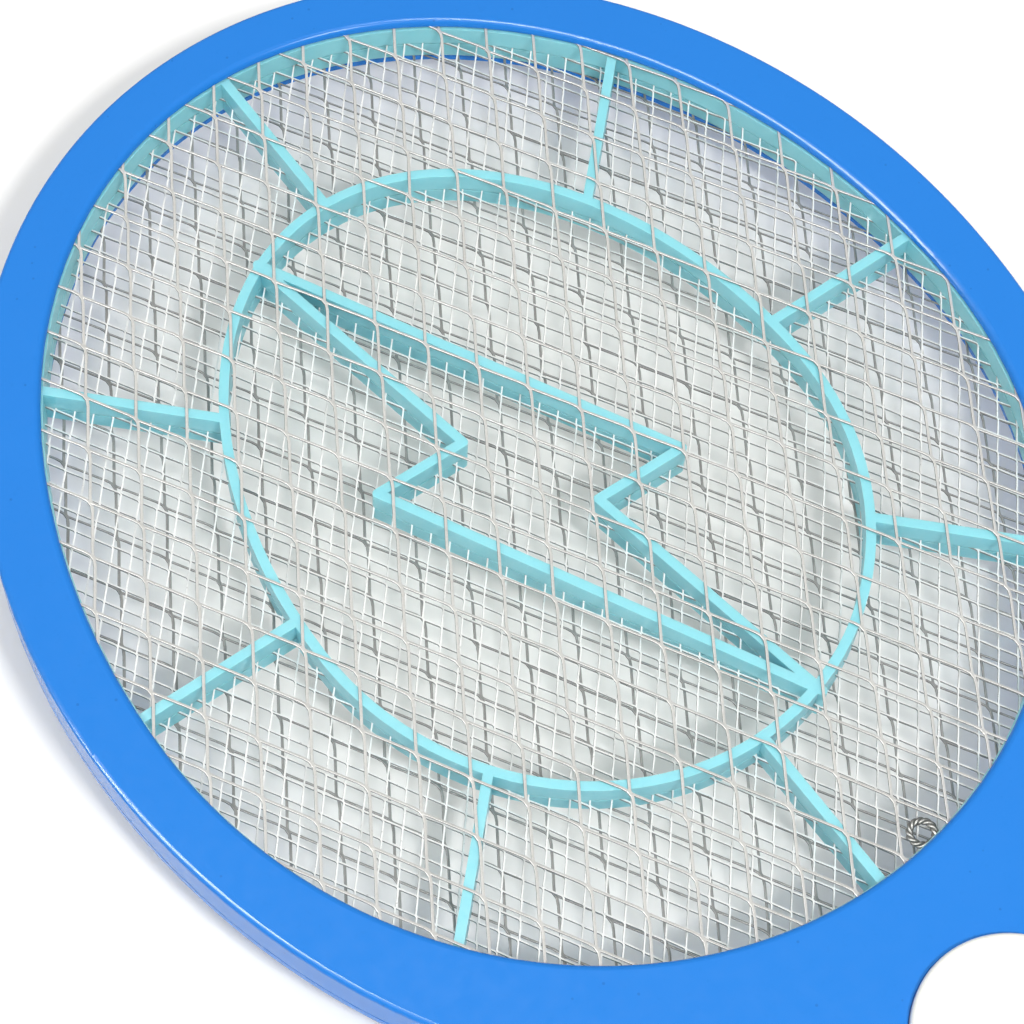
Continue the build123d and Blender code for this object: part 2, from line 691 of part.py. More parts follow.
def led_lamp():
    """A 3 mm light-emitting diode whose dome stands just proud of the panel."""
    base = stack(0, LED_Y, (LED_FLANGE, LED_Z, LED_Z + LED_FLANGE_TALL), (LED_RADIUS, LED_Z, PANEL_Z))
    with BuildPart() as lamp:
        add(base)
        with Locations((0, LED_Y, PANEL_Z)):
            Sphere(LED_RADIUS)
    return lamp.part


def led_legs():
    with BuildPart() as legs:
        with BuildSketch(Plane.XY.offset(BOARD_TOP)):
            with Locations((-LEG_X, LED_Y), (LEG_X, LED_Y)):
                Rectangle(LEG_SIDE, LEG_SIDE)
        extrude(amount=LED_Z - BOARD_TOP)
    return legs.part


def circuit_board():
    with BuildPart() as board:
        with BuildSketch(Plane.XY.offset(BOARD_Z)):
            with Locations((0, BOARD_Y)):
                RectangleRounded(BOARD_WIDTH, BOARD_LENGTH, BOARD_CORNER)
            with Locations(*POSTS):
                Circle(PEG_RADIUS + PLAY, mode=Mode.SUBTRACT)
        extrude(amount=BOARD_THICK)
    return board.part


def transformer_core():
    """Two E halves joined into one frame round the winding."""
    with BuildPart() as core:
        with BuildSketch(Plane.XY.offset(CORE_Z - CORE_LEG / 2)):
            with Locations((0, CORE_Y)):
                Rectangle(CORE_X, CORE_WIDE)
                with Locations((0, CORE_WINDOW_Y), (0, -CORE_WINDOW_Y)):
                    Rectangle(CORE_X - 2 * CORE_SIDE, CORE_WINDOW, mode=Mode.SUBTRACT)
        extrude(amount=CORE_LEG)
    return core.part


def square_tube(half_in, half_out, length, centre_x=0.0):
    """A square tube along X round the core's middle leg."""
    with BuildPart() as tube:
        with BuildSketch(Plane.YZ.offset(centre_x - length / 2)):
            with Locations((CORE_Y, CORE_Z)):
                Rectangle(2 * half_out, 2 * half_out)
                Rectangle(2 * half_in, 2 * half_in, mode=Mode.SUBTRACT)
        extrude(amount=length)
    return tube.part


def transformer_bobbin():
    """The winding's former: a tube with a cheek at each end."""
    cheek_x = (BOBBIN_LONG - BOBBIN_CHEEK) / 2
    pieces = [square_tube(BOBBIN_IN, BOBBIN_IN + BOBBIN_WALL, BOBBIN_LONG)]
    pieces += [square_tube(BOBBIN_IN, BOBBIN_FLANGE, BOBBIN_CHEEK, x) for x in (-cheek_x, cheek_x)]
    with BuildPart() as bobbin:
        add(pieces)
    return bobbin.part


def transformer_winding():
    """The wound wire as one square tube with rounded outer edges."""
    length = BOBBIN_LONG - 2 * BOBBIN_CHEEK - 4 * GAP
    tube = square_tube(BOBBIN_IN + BOBBIN_WALL + GAP, WINDING_OUT, length)
    middle = Vector(0, CORE_Y, CORE_Z)
    with BuildPart() as winding:
        add(tube)
        along = winding.edges().filter_by(Axis.X)
        fillet(along.sort_by(lambda e: (e.center() - middle).length)[-4:], WINDING_ROUND)
    return winding.part


def rounded_block(place, size, radius):
    """A moulded component standing on the board."""
    with BuildPart() as block:
        with BuildSketch(Plane.XY.offset(BOARD_TOP)):
            with Locations(place):
                RectangleRounded(size[0], size[1], radius)
        extrude(amount=size[2])
        fillet(block.faces().sort_by(Axis.Z)[-1].edges(), radius / 2)
    return block.part


def lying_rods(places, radius, length):
    """Round components lying along X, just clear of the board."""
    with BuildPart() as rods:
        for x, y in places:
            with BuildSketch(Plane.YZ.offset(x - length / 2)):
                with Locations((y, BOARD_TOP + radius)):
                    Circle(radius)
            extrude(amount=length)
    return rods.part


def disc_capacitors():
    """Round components standing on edge across the board."""
    with BuildPart() as discs:
        for x, y in DISCS:
            with BuildSketch(Plane.XZ.offset(-y - DISC_THICK / 2)):
                with Locations((x, BOARD_TOP + DISC_RADIUS)):
                    Circle(DISC_RADIUS)
            extrude(amount=DISC_THICK)
    return discs.part


def battery(x, nub_up):
    """An AA cell along Y, its nub towards +Y or -Y."""
    way = 1 if nub_up else -1
    nub_end = BAY_TOP_Y - PLATE if nub_up else BAY_END_Y + PLATE
    shoulder = nub_end - way * NUB
    with BuildPart() as cell:
        with BuildSketch(Plane.XZ.offset(-shoulder)):
            with Locations((x, CELL_Z)):
                Circle(CELL_RADIUS)
        extrude(amount=way * CELL_CAN)
        fillet(cell.edges(), CELL_ROUND)
    return cell.part


def battery_nubs():
    """The raised positive ends of both cells."""
    with BuildPart() as nubs:
        for x, y in ((-CELL_PLACE_X, BAY_TOP_Y - PLATE), (CELL_PLACE_X, BAY_END_Y + PLATE + NUB)):
            with BuildSketch(Plane.XZ.offset(-y)):
                with Locations((x, CELL_Z)):
                    Circle(NUB_RADIUS)
            extrude(amount=NUB)
    return nubs.part


def plate(x_low, x_high, y_low):
    """A contact plate standing across the bay."""
    with BuildPart() as sheet:
        with BuildSketch(Plane.XY.offset(PLATE_Z)):
            with Locations(((x_low + x_high) / 2, y_low + PLATE / 2)):
                Rectangle(x_high - x_low, PLATE)
        extrude(amount=PLATE_TOP - PLATE_Z)
    return sheet.part


def battery_spring(x, y_start):
    """A coil spring between a contact plate and the flat end of a cell."""
    height = SPRING_LONG - 2 * SPRING_WIRE - 2 * GAP
    start = (x, y_start + SPRING_WIRE + GAP, CELL_Z)
    with BuildPart() as spring:
        with BuildLine():
            coil = Helix(height / SPRING_TURNS, height, SPRING_RADIUS, center=start, direction=(0, 1, 0))
        with BuildSketch(Plane(origin=coil @ 0, z_dir=coil % 0)):
            Circle(SPRING_WIRE)
        sweep()
    return spring.part


def battery_door():
    """A plate cut from the handle's own outer form, with a tongue along each side."""
    length = DOOR_TOP_Y - END_Y
    middle = (0, (DOOR_TOP_Y + END_Y) / 2)
    form = handle_block()
    with BuildPart() as door:
        with BuildSketch(Plane.XY):
            with Locations(middle):
                Rectangle(2 * DOOR_HALF, length)
        extrude(amount=DOOR_SKIN + DOOR_TONGUE)
        with BuildSketch(Plane.XY.offset(DOOR_SKIN)):
            with Locations(middle):
                Rectangle(2 * TONGUE_HALF, length)
        extrude(amount=DOOR_TONGUE)
        add(form, mode=Mode.INTERSECT)
        # Finger grooves near the door's inner end.
        with BuildSketch(Plane.XY):
            with Locations(*[(0, DOOR_TOP_Y - GRIP_FIRST - k * GRIP_STEP) for k in range(GRIP_COUNT)]):
                SlotOverall(GRIP_LONG, GRIP_WIDE)
        extrude(amount=GRIP_DEEP, mode=Mode.SUBTRACT)
    return door.part


def lead(*points):
    """A lead of round wire along straight runs and tangent arcs."""
    with BuildPart() as wire:
        with BuildLine() as route:
            runs = [(Vector(*b) - Vector(*a)) for a, b in zip(points, points[1:])]
            bends = []
            for before, after in zip(runs, runs[1:]):
                half_turn = radians(before.get_angle(after)) / 2
                bends.append(LEAD_BEND * min(before.length, after.length) / tan(half_turn))
            FilletPolyline(*points, radius=bends)
        with BuildSketch(Plane(origin=route.line @ 0, z_dir=route.line % 0)):
            Circle(LEAD_RADIUS)
        sweep()
    return wire.part


def battery_lead(x):
    """The lead from a contact plate over the bay wall and down to the board."""
    plate_y = BAY_TOP_Y - PLATE / 2
    return lead(
        (x, plate_y, PLATE_TOP + GAP),
        (x, plate_y, LEAD_HIGH_Z),
        (x, LEAD_END_Y, LEAD_HIGH_Z),
        (x, LEAD_END_Y, BOARD_TOP + GAP),
    )


def lead_terminal():
    """A ring terminal on the middle mesh, with its tongue and barrel in the spacer's notch."""
    with BuildPart() as terminal:
        with BuildSketch(Plane.XY.offset(FRONT_SPIDER_Z)):
            spread([(TERMINAL_X, TERMINAL_Y)], TERMINAL_RING)
            with Locations((TERMINAL_X, (TERMINAL_Y + TERMINAL_END_Y) / 2)):
                Rectangle(2 * TERMINAL_BARREL, TERMINAL_Y - TERMINAL_END_Y)
            with Locations((TERMINAL_X, TERMINAL_Y)):
                Circle(TERMINAL_HOLE, mode=Mode.SUBTRACT)
        extrude(amount=TERMINAL_THICK)
        with BuildSketch(Plane.XZ.offset(-TERMINAL_END_Y)):
            with Locations((TERMINAL_X, BARREL_Z)):
                Circle(TERMINAL_BARREL)
        extrude(amount=-TERMINAL_CRIMP)
    return terminal.part


def write(name, part):
    part.label = name
    export_step(part, f"parts/{name}.step")


holes = diamonds()
write("front_shell", front_shell())
write("rear_shell", rear_shell())
write("casing_screws", casing_screws())
write("handle_screws", handle_screws())
write("front_spider", front_spider())
write("rear_spider", spacer(REAR_SPIDER_Z, REAR_SPIDER_TOP))
write("front_mesh", coarse_mesh(holes, FRONT_MESH_Z, FRONT_TAB_X))
write("rear_mesh", coarse_mesh(holes, REAR_MESH_Z, REAR_TAB_X))
write("inner_mesh", inner_mesh())
write("handle_panel", handle_panel())
write("push_button", push_button())
write("switch_plunger", switch_plunger())
write("switch_body", switch_body())
write("led_lamp", led_lamp())
write("led_legs", led_legs())
write("circuit_board", circuit_board())
write("transformer_core", transformer_core())
write("transformer_bobbin", transformer_bobbin())
write("transformer_winding", transformer_winding())
write("storage_capacitor", rounded_block(CAPACITOR, CAPACITOR_SIZE, CAPACITOR_ROUND))
write("transistor", rounded_block(TRANSISTOR, TRANSISTOR_SIZE, TRANSISTOR_ROUND))
write("disc_capacitors", disc_capacitors())
write("diodes", lying_rods(DIODES, DIODE_RADIUS, DIODE_LONG))
write("resistors", lying_rods(RESISTORS, RESISTOR_RADIUS, RESISTOR_LONG))
write("battery_left", battery(-CELL_PLACE_X, True))
write("battery_right", battery(CELL_PLACE_X, False))
write("battery_nubs", battery_nubs())
write("positive_contact", plate(-CONTACT_OUT, -CONTACT_IN, BAY_TOP_Y - PLATE))
write("negative_contact", plate(CONTACT_IN, CONTACT_OUT, BAY_TOP_Y - PLATE))
write("bridge_contact", plate(-SEAT_HALF, SEAT_HALF, BAY_END_Y))
write("spring_left", battery_spring(-CELL_PLACE_X, BAY_END_Y + PLATE))
write("spring_right", battery_spring(CELL_PLACE_X, BAY_TOP_Y - PLATE - SPRING_LONG))
write("battery_door", battery_door())
write("lead_terminal", lead_terminal())
write("lead_positive", battery_lead(-CELL_PLACE_X))
write("lead_negative", battery_lead(CELL_PLACE_X))
write("lead_middle_mesh", lead(
    (LEAD_START_X, LEAD_START_Y, BOARD_TOP + GAP),
    (LEAD_START_X, LEAD_START_Y, BARREL_Z),
    (TERMINAL_X, PANEL_TOP_Y, BARREL_Z),
    (TERMINAL_X, TERMINAL_END_Y - GAP, BARREL_Z),
))
write("lead_front_mesh", lead(
    (-LEAD_START_X, LEAD_START_Y, BOARD_TOP + GAP),
    (-LEAD_START_X, LEAD_START_Y, BARREL_Z),
    (FRONT_TAB_X, FRONT_KNEE_Y, BARREL_Z),
    (FRONT_TAB_X, TAB_Y, FRONT_MESH_Z - LEAD_RADIUS - GAP),
))
write("lead_rear_mesh", lead(
    (*REAR_START, BOARD_TOP + GAP),
    (*REAR_START, SPLIT_Z),
    (REAR_TAB_X, REAR_KNEE_Y, SPLIT_Z),
    (REAR_TAB_X, TAB_Y, REAR_MESH_Z + COARSE_THICK + LEAD_RADIUS + GAP),
))
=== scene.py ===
"""Looks, light and camera of the electric fly swatter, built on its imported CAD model. Metres."""

import math

import bpy
from mathutils import Matrix, Vector, noise


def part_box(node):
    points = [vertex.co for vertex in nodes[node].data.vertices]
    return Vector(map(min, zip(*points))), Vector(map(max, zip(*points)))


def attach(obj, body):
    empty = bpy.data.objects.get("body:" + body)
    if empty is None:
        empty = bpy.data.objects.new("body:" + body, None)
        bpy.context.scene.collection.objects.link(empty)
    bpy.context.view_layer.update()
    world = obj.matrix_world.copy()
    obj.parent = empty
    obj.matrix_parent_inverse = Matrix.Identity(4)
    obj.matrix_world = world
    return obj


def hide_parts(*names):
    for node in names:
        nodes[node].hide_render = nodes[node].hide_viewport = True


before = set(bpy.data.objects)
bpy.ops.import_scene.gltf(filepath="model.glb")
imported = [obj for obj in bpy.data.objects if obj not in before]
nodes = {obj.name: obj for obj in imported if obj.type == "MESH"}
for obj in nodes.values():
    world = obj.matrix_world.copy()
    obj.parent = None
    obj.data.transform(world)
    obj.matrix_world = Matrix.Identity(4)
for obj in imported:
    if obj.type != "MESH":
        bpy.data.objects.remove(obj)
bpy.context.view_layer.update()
slots = {name: node.material_slots[0].material.name for name, node in nodes.items()}

MM = 0.001

# Camera: it looks at the middle of the head from the handle's left, turned a little about its own axis.
AZIMUTH = math.radians(-39.49)
ELEVATION = math.radians(62.56)
ROLL = math.radians(3.81)
DISTANCE = 536.9 * MM
AIM_OFFSET = (1.16 * MM, 14.13 * MM)
LENS = 105.47
SENSOR = 36.0

# Expanded metal of the electrodes. U and V are the steps from one bond to the next along its two
# strands, and each sheet's origin is where one of its bonds lies, from the head's reference point.
HEAD_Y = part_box("front_shell")[1].y - 104.7 * MM
COARSE_U = Vector((4.993, -8.999)) * MM
COARSE_V = Vector((-5.377, -9.240)) * MM
FRONT_ORIGIN = Vector((21.63, -74.45)) * MM
REAR_ORIGIN = Vector((4.64, 11.94)) * MM
FINE_U = Vector((1.857, -3.211)) * MM
FINE_V = Vector((-2.307, -2.731)) * MM
FINE_ORIGIN = Vector((-0.67, -0.46)) * MM

# A strand: its flat section and the tilt of that section, how far its corners lie off the bond's
# middle, how much of its length its wide and its tight turns take, and how far it wanders.
COARSE = {
    "width": 0.66 * MM, "thick": 0.30 * MM, "tilt": math.radians(-24), "broken_edge": 0.3,
    "offset": (-0.20 * MM, 0.11 * MM), "wide": 2.0 * MM, "tight": 0.5 * MM, "unevenness": 0.12 * MM,
}
REAR = {**COARSE, "width": 0.62 * MM, "thick": 0.26 * MM, "tilt": math.radians(-35)}
FINE = {
    "width": 0.38 * MM, "thick": 0.34 * MM, "tilt": math.radians(-15), "broken_edge": 0.0,
    "offset": (-0.02 * MM, 0.05 * MM), "wide": 0.50 * MM, "tight": 0.25 * MM, "unevenness": 0.22 * MM,
}
SHEET_INSET = 0.3 * MM
WANDER = 110
WANDER_SEED = 7
ON_EDGE = 1e-6
CUT_STEPS = 12

# Heights between which painted shade darkens the coarse metal, from none on the front sheet to full on
# the rear sheet, which lies in the shade of the sheets above it.
PAINTED_SHADE_START_Z = 16 * MM
PAINTED_SHADE_FULL_Z = 15 * MM

FLOOR_HALF = 4.0
CLIP_START = 0.01


# Procedural finishes.

class Finish:
    """A Principled material whose nodes take their pattern from the object's own coordinates."""

    def __init__(self, name, colour, roughness, metallic=0.0, **sockets):
        self.material = bpy.data.materials.new(name)
        self.material.use_nodes = True
        self.tree = self.material.node_tree
        self.shader = self.tree.nodes["Principled BSDF"]
        self.colour = colour
        self.set("Base Color", (*colour, 1.0))
        self.set("Roughness", roughness)
        self.set("Metallic", metallic)
        for socket, value in sockets.items():
            self.set(socket.replace("_", " "), value)
        self.place = self.node("ShaderNodeTexCoord").outputs["Object"]

    def node(self, kind, **values):
        made = self.tree.nodes.new(kind)
        for name, value in values.items():
            setattr(made, name, value)
        return made

    def set(self, socket, value):
        self.shader.inputs[socket].default_value = value

    def join(self, source, target):
        self.tree.links.new(source, target)

    def stretched(self, scale):
        """The object's coordinates, scaled differently along each axis."""
        mapping = self.node("ShaderNodeMapping")
        self.join(self.place, mapping.inputs["Vector"])
        mapping.inputs["Scale"].default_value = scale
        return mapping.outputs["Vector"]

    def grain(self, scale, detail=2.0, place=None):
        """Cloudy noise: scale is in cycles per metre."""
        made = self.node("ShaderNodeTexNoise")
        self.join(place or self.place, made.inputs["Vector"])
        made.inputs["Scale"].default_value = scale
        made.inputs["Detail"].default_value = detail
        return made.outputs["Fac"]

    def cells(self, scale):
        made = self.node("ShaderNodeTexVoronoi")
        self.join(self.place, made.inputs["Vector"])
        made.inputs["Scale"].default_value = scale
        return made.outputs["Distance"]

    def bands(self, scale, direction, distortion=0.0):
        made = self.node("ShaderNodeTexWave", bands_direction=direction)
        self.join(self.place, made.inputs["Vector"])
        made.inputs["Scale"].default_value = scale
        made.inputs["Distortion"].default_value = distortion
        return made.outputs["Fac"]

    def spread(self, factor, low, high, start=0.0, end=1.0):
        """A number from start to end as the factor goes from low to high."""
        made = self.node("ShaderNodeMapRange")
        self.join(factor, made.inputs["Value"])
        for socket, value in (("From Min", low), ("From Max", high), ("To Min", start), ("To Max", end)):
            made.inputs[socket].default_value = value
        return made.outputs["Result"]

    def tint(self, factor, colour):
        """The base colour goes towards another colour as the factor goes from 0 to 1."""
        mix = self.node("ShaderNodeMix", data_type="RGBA")
        self.join(factor, mix.inputs["Factor"])
        before = self.shader.inputs["Base Color"]
        if before.links:
            self.join(before.links[0].from_socket, mix.inputs["A"])
        else:
            mix.inputs["A"].default_value = (*self.colour, 1.0)
        mix.inputs["B"].default_value = (*colour, 1.0)
        self.join(mix.outputs["Result"], before)
        return self

    def edge_on(self):
        """Near 1 on faces that look along the object's X axis, such as the cut edges of a strand."""
        split = self.node("ShaderNodeSeparateXYZ")
        self.join(self.node("ShaderNodeTexCoord").outputs["Normal"], split.inputs[0])
        size = self.node("ShaderNodeMath", operation="ABSOLUTE")
        self.join(split.outputs["X"], size.inputs[0])
        return size.outputs[0]

    def height(self):
        """The object's Z coordinate."""
        split = self.node("ShaderNodeSeparateXYZ")
        self.join(self.place, split.inputs[0])
        return split.outputs["Z"]

    def rough(self, factor):
        self.join(factor, self.shader.inputs["Roughness"])
        return self

    def bump(self, height, depth):
        """Relief of the given depth in metres; several are added up."""
        made = self.node("ShaderNodeBump")
        made.inputs["Distance"].default_value = depth
        self.join(height, made.inputs["Height"])
        before = self.shader.inputs["Normal"]
        if before.links:
            self.join(before.links[0].from_socket, made.inputs["Normal"])
        self.join(made.outputs["Normal"], before)
        return self


def glossy_blue():
    """Glossy plastic: slight orange peel, faint changes of tone and a few darker specks."""
    f = Finish("blue_shell", (0.015, 0.188, 0.625), 0.20, Specular_IOR_Level=0.22)
    f.tint(f.spread(f.grain(55, 3), 0.35, 0.75, 0.0, 0.22), (0.018, 0.206, 0.665))
    f.tint(f.spread(f.grain(900, 2), 0.60, 0.80, 0.0, 0.15), (0.006, 0.150, 0.510))
    f.tint(f.spread(f.cells(230), 0.075, 0.045, 0.0, 0.35), (0.006, 0.080, 0.300))
    f.rough(f.spread(f.grain(400, 3), 0.3, 0.7, 0.17, 0.24))
    f.bump(f.grain(700, 2), 0.003 * MM)
    f.bump(f.grain(3200, 2), 0.001 * MM)
    return f


def milky_turquoise():
    """Translucent moulded plastic with faint flow marks."""
    f = Finish("turquoise_spacer", (0.230, 0.605, 0.685), 0.40, Subsurface_Weight=0.6,
               Subsurface_Radius=(0.8, 1.0, 1.0), Subsurface_Scale=2.4 * MM, Coat_Weight=0.10)
    f.tint(f.spread(f.grain(70, 3), 0.35, 0.7, 0.0, 0.35), (0.26, 0.635, 0.71))
    f.tint(f.spread(f.grain(1100, 3), 0.55, 0.8, 0.0, 0.25), (0.16, 0.52, 0.62))
    f.rough(f.spread(f.grain(600, 3), 0.3, 0.7, 0.30, 0.46))
    f.bump(f.grain(900, 3), 0.010 * MM)
    return f


def rolled_metal(name, colour, roughness, metallic, tone, pits):
    """Cut and stretched sheet: rolled faces and dull patches, with painted shade on the cut edges and
    painted shade on the rear sheet.
    """
    f = Finish(name, colour, roughness, metallic)
    f.tint(f.spread(f.grain(140, 3), 0.35, 0.7, 0.0, 0.6), tone)
    f.tint(f.spread(f.grain(2600, 3), 0.5, 0.8, 0.0, 0.4), tuple(c * 0.7 for c in tone))
    # Painted shade: faces that look along the object's X axis, the strands' cut edges, are darkened.
    f.tint(f.spread(f.edge_on(), 0.50, 0.78, 0.0, 0.85), tuple(c * 0.22 for c in tone))
    # Painted shade: below these heights the metal is darkened, as if shaded by the sheets above it.
    f.tint(f.spread(f.height(), PAINTED_SHADE_START_Z, PAINTED_SHADE_FULL_Z, 0.0, 0.48), tuple(c * 0.22 for c in tone))
    f.rough(f.spread(f.grain(1500, 3), 0.3, 0.7, roughness - 0.08, roughness + 0.12))
    f.bump(f.grain(3400, 2), pits)
    f.bump(f.bands(420, "Y", 2.0), pits * 0.6)
    return f


def moulded(name, colour, roughness, grain=1300.0, depth=0.006 * MM, **sockets):
    """Moulded plastic, rubber or varnish with a fine skin and slight tone changes."""
    f = Finish(name, colour, roughness, **sockets)
    f.tint(f.spread(f.grain(grain / 12, 3), 0.35, 0.75, 0.0, 0.35), tuple(c * 0.86 for c in colour))
    f.rough(f.spread(f.grain(grain / 3, 3), 0.3, 0.7, max(0.05, roughness - 0.06), roughness + 0.08))
    f.bump(f.grain(grain, 2), depth)
    return f


def drawn_metal(name, colour, roughness, across="Y"):
    """Plated or drawn metal with hairlines across it."""
    f = Finish(name, colour, roughness, 1.0)
    scale = (300, 6000, 300) if across == "Y" else (6000, 300, 300)
    lines = f.grain(1.0, 3, f.stretched(scale))
    f.tint(f.spread(lines, 0.4, 0.75, 0.0, 0.4), tuple(c * 0.75 for c in colour))
    f.rough(f.spread(lines, 0.3, 0.7, max(0.05, roughness - 0.06), roughness + 0.14))
    f.bump(lines, 0.004 * MM)
    return f


def board_laminate():
    """Solder resist over copper tracks."""
    f = Finish("board", (0.045, 0.170, 0.060), 0.35, Coat_Weight=0.3)
    tracks = f.bands(110, "X", 3.0)
    f.tint(f.spread(tracks, 0.72, 0.80, 0.0, 0.6), (0.100, 0.290, 0.090))
    f.bump(f.spread(tracks, 0.72, 0.80), 0.03 * MM)
    return f


def wound_wire():
    """Enamelled copper wire, wound turn by turn, with painted shade in the grooves between turns."""
    f = Finish("winding", (0.520, 0.170, 0.050), 0.28, 0.85)
    turns = f.bands(900, "X")
    # Painted shade: where the turns' bump dips into a groove, the copper is darkened.
    f.tint(f.spread(turns, 0.0, 0.45, 0.7, 0.0), (0.130, 0.035, 0.010))
    f.bump(turns, 0.10 * MM)
    return f


def cell_sleeve():
    """Shrunk printed sleeve in two plain colours."""
    f = Finish("cell_jacket", (0.030, 0.060, 0.150), 0.25, Coat_Weight=0.5)
    f.tint(f.spread(f.bands(16, "Y"), 0.86, 0.88), (0.62, 0.50, 0.22))
    f.bump(f.grain(700, 3), 0.01 * MM)
    return f


FINISHES = {
    "blue_shell": glossy_blue(),
    "turquoise_spacer": milky_turquoise(),
    "coarse_mesh": rolled_metal("coarse_mesh", (0.64, 0.63, 0.61), 0.40, 0.20,
                                (0.54, 0.53, 0.51), 0.012 * MM),
    "fine_mesh": rolled_metal("fine_mesh", (0.90, 0.90, 0.89), 0.34, 0.20,
                              (0.82, 0.82, 0.81), 0.004 * MM),
    "white_panel": moulded("white_panel", (0.83, 0.83, 0.79), 0.30, Coat_Weight=0.25),
    "button": moulded("button", (0.235, 0.640, 0.735), 0.34, Coat_Weight=0.2),
    "switch_plunger": moulded("switch_plunger", (0.030, 0.030, 0.032), 0.42),
    "black_moulding": moulded("black_moulding", (0.022, 0.022, 0.024), 0.45),
    "led_lens": moulded("led_lens", (0.75, 0.06, 0.03), 0.10, Transmission_Weight=0.6),
    "tinned_metal": drawn_metal("tinned_metal", (0.22, 0.22, 0.21), 0.50),
    "screw_steel": drawn_metal("screw_steel", (0.60, 0.60, 0.61), 0.30, "X"),
    "board": board_laminate(),
    "ferrite": moulded("ferrite", (0.050, 0.050, 0.052), 0.62, 2400.0, 0.02 * MM),
    "bobbin": moulded("bobbin", (0.62, 0.56, 0.40), 0.45),
    "winding": wound_wire(),
    "capacitor_red": moulded("capacitor_red", (0.42, 0.050, 0.020), 0.28, Coat_Weight=0.5),
    "ceramic_blue": moulded("ceramic_blue", (0.030, 0.140, 0.360), 0.40),
    "resistor_body": moulded("resistor_body", (0.55, 0.42, 0.24), 0.45),
    "cell_jacket": cell_sleeve(),
    "contact_plating": drawn_metal("contact_plating", (0.68, 0.66, 0.60), 0.24),
    "red_lead": moulded("red_lead", (0.50, 0.020, 0.015), 0.40),
    "black_lead": moulded("black_lead", (0.018, 0.018, 0.020), 0.42),
}


def dress(name, node):
    """Gives a CAD node the finish of its own material slot."""
    node.material_slots[0].material = FINISHES[slots[name]].material


# Meshes of the electrodes.

class Outline:
    """The oval of an electrode sheet, read from its CAD node.

    It is two half ellipses that meet at the widest place."""

    def __init__(self, node):
        low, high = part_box(node)
        self.half_width = high.x
        self.top = high.y
        corners = [v.co for v in nodes[node].data.vertices]
        widest = [c.y for c in corners if c.x > high.x - ON_EDGE]
        self.wide = sum(widest) / len(widest)
        body = [c.y for c in corners if abs(c.x) > self.half_width / 2]
        edge_x = max(abs(c.x) for c in corners if c.y < min(body) + ON_EDGE)
        self.low = self.wide - (self.wide - min(body)) / math.sqrt(1 - (edge_x / self.half_width) ** 2)

    def reach(self, point, inset):
        """Below 1 inside the oval, above 1 outside."""
        half_length = self.top - self.wide if point.y > self.wide else self.wide - self.low
        across = point.x / (self.half_width - inset)
        along = (point.y - self.wide) / (half_length - inset)
        return math.hypot(across, along)


def strand_line(origin, u, v, k, count, shape):
    """Centre line of one zigzag strand, from the head's tip down.

    It turns sharply on one side of a bond and in a wide curve on the other side of the next."""
    half = shape["width"] / 2 * math.sin(shape["tilt"])
    corners = []
    for n in range(-count, count):
        for i, j, side, bend in ((n, n - k, 1, shape["tight"]), (n + 1, n - k, -1, shape["wide"])):
            place = (origin + i * u + j * v).to_3d() + side * Vector((*shape["offset"], half))
            corners.append((place, bend))
    line = []
    for (before, _), (corner, bend), (after, _) in zip(corners, corners[1:], corners[2:]):
        start = corner + (before - corner).normalized() * bend
        end = corner + (after - corner).normalized() * bend
        middle = (start + 2 * corner + end) / 4
        line += [start, (start + middle + corner) / 3, middle, (end + middle + corner) / 3, end]
    return line


def clipped(line, outline, inset):
    """The runs of a line that lie inside the oval, cut where they cross it."""
    runs, run = [], []
    for a, b in zip(line, line[1:]):
        inside = [outline.reach(p, inset) < 1 for p in (a, b)]
        if inside[0]:
            run.append(a)
        if inside[0] != inside[1]:
            low, high = (a, b) if inside[0] else (b, a)
            for _ in range(CUT_STEPS):
                middle = (low + high) / 2
                low, high = (middle, high) if outline.reach(middle, inset) < 1 else (low, middle)
            run.append(low)
            if inside[0]:
                runs.append(run)
                run = []
    return [r for r in runs if len(r) > 1]


def strand_section(shape):
    """A strand's section across the sheet: a flat ribbon with broken edges, tilted about Y."""
    half_w, half_t = shape["width"] / 2, shape["thick"] / 2
    cut = half_t * shape["broken_edge"]
    corner = [(half_w, half_t - cut), (half_w - cut, half_t)] if cut else [(half_w, half_t)]
    upper = corner + [(-x, z) for x, z in reversed(corner)]
    flat = upper + [(-x, -z) for x, z in upper]
    c, s = math.cos(shape["tilt"]), math.sin(shape["tilt"])
    return [(x * c - z * s, x * s + z * c) for x, z in flat]


